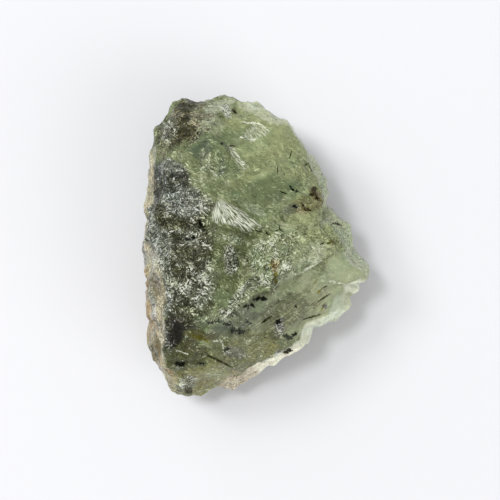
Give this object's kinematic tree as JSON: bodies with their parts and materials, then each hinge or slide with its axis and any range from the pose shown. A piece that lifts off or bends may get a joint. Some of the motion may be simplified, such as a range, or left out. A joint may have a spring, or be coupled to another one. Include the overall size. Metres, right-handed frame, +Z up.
{
  "type": "raw prehnite stone",
  "caption": "Rough, uncut piece of translucent pale green mineral with broken faces, lying on a flat broken side.",
  "frame": {"origin": "centre of the stone's box, on the surface that it rests on", "axes": "+Z up from the flat side it rests on, +Y along its length towards the broad end, +X towards the thin tip on its right"},
  "size_m": [0.0354, 0.047, 0.0194],
  "materials": {
    "prehnite": "waxy, translucent, broken surface with small glints"
  },
  "bodies": {
    "root": {"prehnite": "prehnite"}
  },
  "joints": []
}
